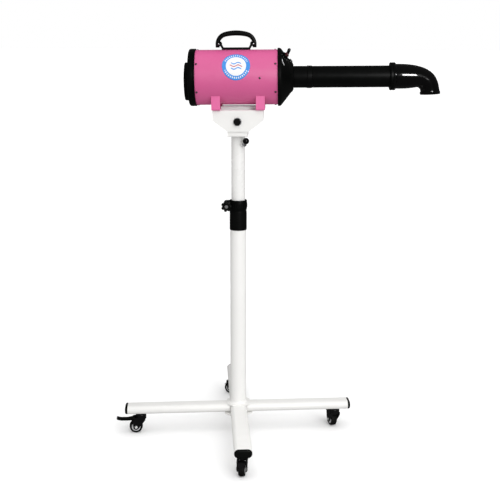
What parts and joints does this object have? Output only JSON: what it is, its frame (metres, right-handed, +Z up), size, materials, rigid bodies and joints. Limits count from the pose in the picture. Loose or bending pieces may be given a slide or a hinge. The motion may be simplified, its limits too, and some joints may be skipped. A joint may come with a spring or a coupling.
{
  "type": "stand dryer",
  "caption": "Stand hair dryer: horizontal drum blower with elbow nozzle and folding carry handle on a telescopic pole with a rolling cross base.",
  "frame": {"origin": "on the floor, on the axis of the telescopic pole", "axes": "+Z up along the pole, +X from the blower towards its nozzle, so the labelled side faces -Y"},
  "size_m": [0.959, 0.691, 1.2127],
  "materials": {
    "white_powder_coat": "smooth off-white powder coat",
    "upper_tube_enamel": "glossy off-white enamel",
    "pink_enamel": "semi-gloss pink enamel",
    "black_plastic": "satin black moulding",
    "black_enamel_steel": "black enamel",
    "zinc_steel": "zinc plated",
    "castor_steel": "black stoved fork",
    "brake_black": "textured black",
    "castor_hub_plastic": "grey moulded hub",
    "castor_tread": "smooth black tread",
    "black_ball": "polished black knob",
    "switch_chrome": "polished",
    "rubber_pads": "matte",
    "bush_plastic": "natural moulding",
    "foam": "open foam",
    "label_print": "printed vinyl",
    "motor_casting": "cast",
    "regulator": "moulded",
    "fan_plastic": "moulded",
    "mica": "laminated board",
    "heating_wire": "resistance wire"
  },
  "bodies": {
    "base": {"leg_left": "white_powder_coat", "leg_right": "white_powder_coat", "leg_front": "white_powder_coat", "leg_back": "white_powder_coat", "leg_end_caps": "black_plastic", "base_fasteners": "zinc_steel", "base_hub": "white_powder_coat", "lower_pole": "white_powder_coat", "pole_bush": "bush_plastic", "pole_collar": "black_plastic", "castor_stems": "castor_steel"},
    "height_knob": {"height_knob": "black_plastic"},
    "mast": {"upper_tube": "upper_tube_enamel"},
    "swivel_lever": {"ball_lever": "black_ball"},
    "yoke": {"swivel_fork": "white_powder_coat", "pivot_bolt": "black_enamel_steel", "pivot_hardware": "zinc_steel"},
    "head": {"tilt_bracket": "white_powder_coat", "mounting_rail": "zinc_steel", "saddle_feet": "pink_enamel", "foot_bolts": "zinc_steel", "housing": "pink_enamel", "housing_screws": "zinc_steel", "rear_cap": "black_plastic", "front_cap": "black_plastic", "speed_control": "regulator", "toggle_bush": "switch_chrome", "pilot_lamp": "switch_chrome", "outlet_sleeve": "black_plastic", "nozzle_tube": "black_plastic", "cord_gland": "black_plastic", "label": "label_print", "handle_base": "black_enamel_steel", "handle_pins": "zinc_steel", "motor": "motor_casting", "motor_mounts": "rubber_pads", "heater_frame": "mica", "heater_wire": "heating_wire"},
    "fan": {"fan_rotor": "fan_plastic"},
    "elbow": {"elbow_nozzle": "black_plastic", "elbow_collar": "black_plastic"},
    "speed_knob": {"speed_knob": "black_plastic"},
    "heat_toggle": {"toggle_lever": "black_enamel_steel"},
    "intake_cover": {"intake_cover": "black_plastic", "intake_filter": "foam"},
    "carry_handle": {"carry_handle": "black_plastic"},
    "castor_left": {"castor_fork_left": "castor_steel"},
    "wheel_left": {"castor_wheel_left": "castor_hub_plastic", "castor_tyre_left": "castor_tread"},
    "brake_left": {"brake_pedal_left": "brake_black"},
    "castor_right": {"castor_fork_right": "castor_steel"},
    "wheel_right": {"castor_wheel_right": "castor_hub_plastic", "castor_tyre_right": "castor_tread"},
    "brake_right": {"brake_pedal_right": "brake_black"},
    "castor_front": {"castor_fork_front": "castor_steel"},
    "wheel_front": {"castor_wheel_front": "castor_hub_plastic", "castor_tyre_front": "castor_tread"},
    "castor_back": {"castor_fork_back": "castor_steel"},
    "wheel_back": {"castor_wheel_back": "castor_hub_plastic", "castor_tyre_back": "castor_tread"}
  },
  "joints": [
    {"name": "height_knob_turn", "type": "hinge", "parent": "base", "child": "height_knob", "pos_m": [-0.033, -0.036, 0.7045], "axis": [0, 1, 0], "range_deg": [-180, 180]},
    {"name": "mast_slide", "type": "slide", "parent": "base", "child": "mast", "axis": [0, 0, 1], "range_m": [-0.15, 0.22]},
    {"name": "swivel_lever_turn", "type": "hinge", "parent": "mast", "child": "swivel_lever", "pos_m": [0.01662, -0.02128, 0.886], "axis": [0.6157, -0.788, 0], "range_deg": [-60, 60]},
    {"name": "head_swivel", "type": "hinge", "parent": "mast", "child": "yoke", "pos_m": [0, 0, 0.91], "axis": [0, 0, 1], "continuous": true},
    {"name": "head_tilt", "type": "hinge", "parent": "yoke", "child": "head", "pos_m": [0, 0, 0.954], "axis": [0, 1, 0], "range_deg": [-30, 60]},
    {"name": "fan_spin", "type": "hinge", "parent": "head", "child": "fan", "pos_m": [-0.08652, 0, 1.07795], "axis": [0.9999, 0, 0.0122], "continuous": true},
    {"name": "elbow_turn", "type": "hinge", "parent": "head", "child": "elbow", "pos_m": [0.44654, 0, 1.08447], "axis": [0.9999, 0, 0.0122], "continuous": true},
    {"name": "carry_handle_fold", "type": "hinge", "parent": "head", "child": "carry_handle", "pos_m": [-0.00579, 0, 1.17445], "axis": [0.9999, 0, 0.0122], "range_deg": [-80, 80]},
    {"name": "intake_cover_pull", "type": "slide", "parent": "head", "child": "intake_cover", "axis": [-0.9999, 0, -0.0122], "range_m": [0, 0.03]},
    {"name": "speed_knob_turn", "type": "hinge", "parent": "head", "child": "speed_knob", "pos_m": [0.13423, -0.03476, 1.14085], "axis": [0.7846, -0.3058, 0.5394], "range_deg": [-135, 135]},
    {"name": "heat_toggle_tip", "type": "hinge", "parent": "head", "child": "heat_toggle", "pos_m": [0.14233, -0.00685, 1.14589], "axis": [0, 1, 0], "range_deg": [0, 45]},
    {"name": "castor_left_swivel", "type": "hinge", "parent": "base", "child": "castor_left", "pos_m": [-0.29704, -0.0239, 0.055], "axis": [0, 0, 1], "continuous": true},
    {"name": "castor_left_roll", "type": "hinge", "parent": "castor_left", "child": "wheel_left", "pos_m": [-0.31189, -0.02599, 0.02], "axis": [0.1392, -0.9903, 0], "continuous": true},
    {"name": "brake_left_press", "type": "hinge", "parent": "castor_left", "child": "brake_left", "pos_m": [-0.31932, -0.02703, 0.0445], "axis": [0.1392, -0.9903, 0], "range_deg": [0, 9]},
    {"name": "castor_right_swivel", "type": "hinge", "parent": "base", "child": "castor_right", "pos_m": [0.29704, 0.0239, 0.055], "axis": [0, 0, 1], "continuous": true},
    {"name": "castor_right_roll", "type": "hinge", "parent": "castor_right", "child": "wheel_right", "pos_m": [0.29142, 0.03781, 0.02], "axis": [-0.9272, -0.3746, 0], "continuous": true},
    {"name": "brake_right_press", "type": "hinge", "parent": "castor_right", "child": "brake_right", "pos_m": [0.28861, 0.04476, 0.0445], "axis": [-0.9272, -0.3746, 0], "range_deg": [0, 9]},
    {"name": "castor_front_swivel", "type": "hinge", "parent": "base", "child": "castor_front", "pos_m": [0.0239, -0.29704, 0.055], "axis": [0, 0, 1], "continuous": true},
    {"name": "castor_front_roll", "type": "hinge", "parent": "castor_front", "child": "wheel_front", "pos_m": [0.02285, -0.312, 0.02], "axis": [0.9976, -0.0698, 0], "continuous": true},
    {"name": "castor_back_swivel", "type": "hinge", "parent": "base", "child": "castor_back", "pos_m": [-0.0239, 0.29704, 0.055], "axis": [0, 0, 1], "continuous": true},
    {"name": "castor_back_roll", "type": "hinge", "parent": "castor_back", "child": "wheel_back", "pos_m": [-0.03839, 0.30092, 0.02], "axis": [-0.2588, -0.9659, 0], "continuous": true}
  ]
}
